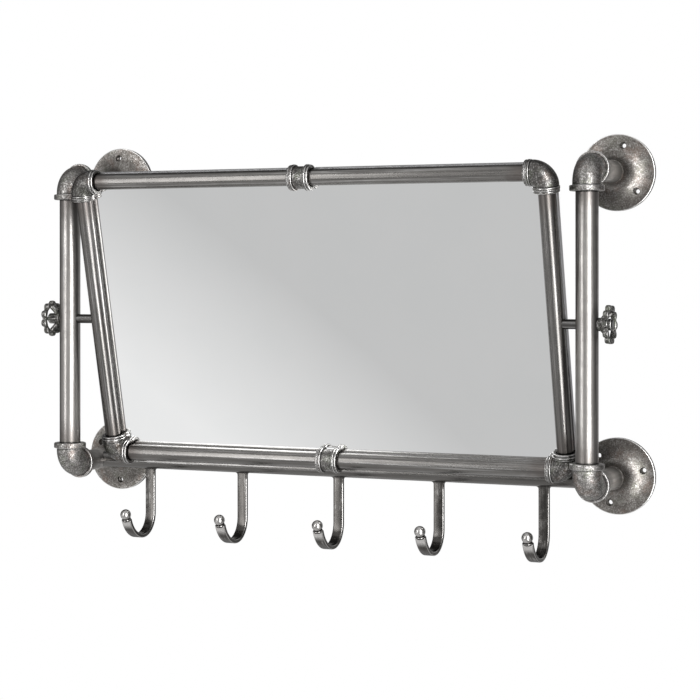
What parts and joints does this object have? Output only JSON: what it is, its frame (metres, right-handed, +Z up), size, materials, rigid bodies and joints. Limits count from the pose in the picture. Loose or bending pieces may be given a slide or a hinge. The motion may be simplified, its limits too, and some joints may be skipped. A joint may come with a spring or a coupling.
{
  "type": "mirror with hooks",
  "caption": "Wall mirror in a pipe frame that tilts on two pivot rods between pipe brackets, with handwheels at the sides and a rail of coat hooks below.",
  "frame": {"origin": "centre of the four wall flanges on the wall plane", "axes": "+X to the viewer's right, +Y into the wall, +Z up"},
  "size_m": [0.7476, 0.1845, 0.4869],
  "materials": {
    "wall_casting": "aged grey casting with rubbed bright edges",
    "wall_pipe": "dark steel brushed along its length",
    "hook_bar": "dark forged steel with rubbed edges",
    "frame_casting": "aged grey casting with rubbed bright edges",
    "frame_pipe": "dark steel brushed along its length",
    "mirror": "plain silvered glass",
    "board": "plain hardboard",
    "pan": "dark satin sheet",
    "screw": "plain zinc screws",
    "rod": "dark turned steel",
    "wheel": "dark rough casting"
  },
  "bodies": {
    "bracket": {"flange_tl": "wall_casting", "flange_tr": "wall_casting", "flange_bl": "wall_casting", "flange_br": "wall_casting", "standoff_tl": "wall_pipe", "standoff_tr": "wall_pipe", "standoff_bl": "wall_pipe", "standoff_br": "wall_pipe", "elbow_tl": "wall_casting", "elbow_tr": "wall_casting", "elbow_bl": "wall_casting", "elbow_br": "wall_casting", "side_pipe_l": "wall_pipe", "side_pipe_r": "wall_pipe", "hook_rail": "wall_pipe", "hook_1": "hook_bar", "hook_2": "hook_bar", "hook_3": "hook_bar", "hook_4": "hook_bar", "hook_5": "hook_bar"},
    "mirror": {"frame_elbow_tl": "frame_casting", "frame_elbow_tr": "frame_casting", "frame_elbow_bl": "frame_casting", "frame_elbow_br": "frame_casting", "frame_pipe_l": "frame_pipe", "frame_pipe_r": "frame_pipe", "top_pipe_l": "frame_pipe", "top_pipe_r": "frame_pipe", "bottom_pipe_l": "frame_pipe", "bottom_pipe_r": "frame_pipe", "coupling_top": "frame_casting", "coupling_bottom": "frame_casting", "mirror_glass": "mirror", "backing_board": "board", "back_pan": "pan", "pan_screws": "screw", "pivot_rod_l": "rod", "pivot_rod_r": "rod"},
    "wheel_l": {"handwheel_l": "wheel"},
    "wheel_r": {"handwheel_r": "wheel"}
  },
  "joints": [
    {"name": "mirror_tilt", "type": "hinge", "parent": "bracket", "child": "mirror", "pos_m": [0, -0.1294, 0.0032], "axis": [1, 0, 0], "range_deg": [-41.5, 2.2]},
    {"name": "wheel_l_turn", "type": "hinge", "parent": "mirror", "child": "wheel_l", "pos_m": [-0.35, -0.1294, 0.0032], "axis": [-1, 0, 0], "continuous": true},
    {"name": "wheel_r_turn", "type": "hinge", "parent": "mirror", "child": "wheel_r", "pos_m": [0.35, -0.1294, 0.0032], "axis": [1, 0, 0], "continuous": true}
  ]
}
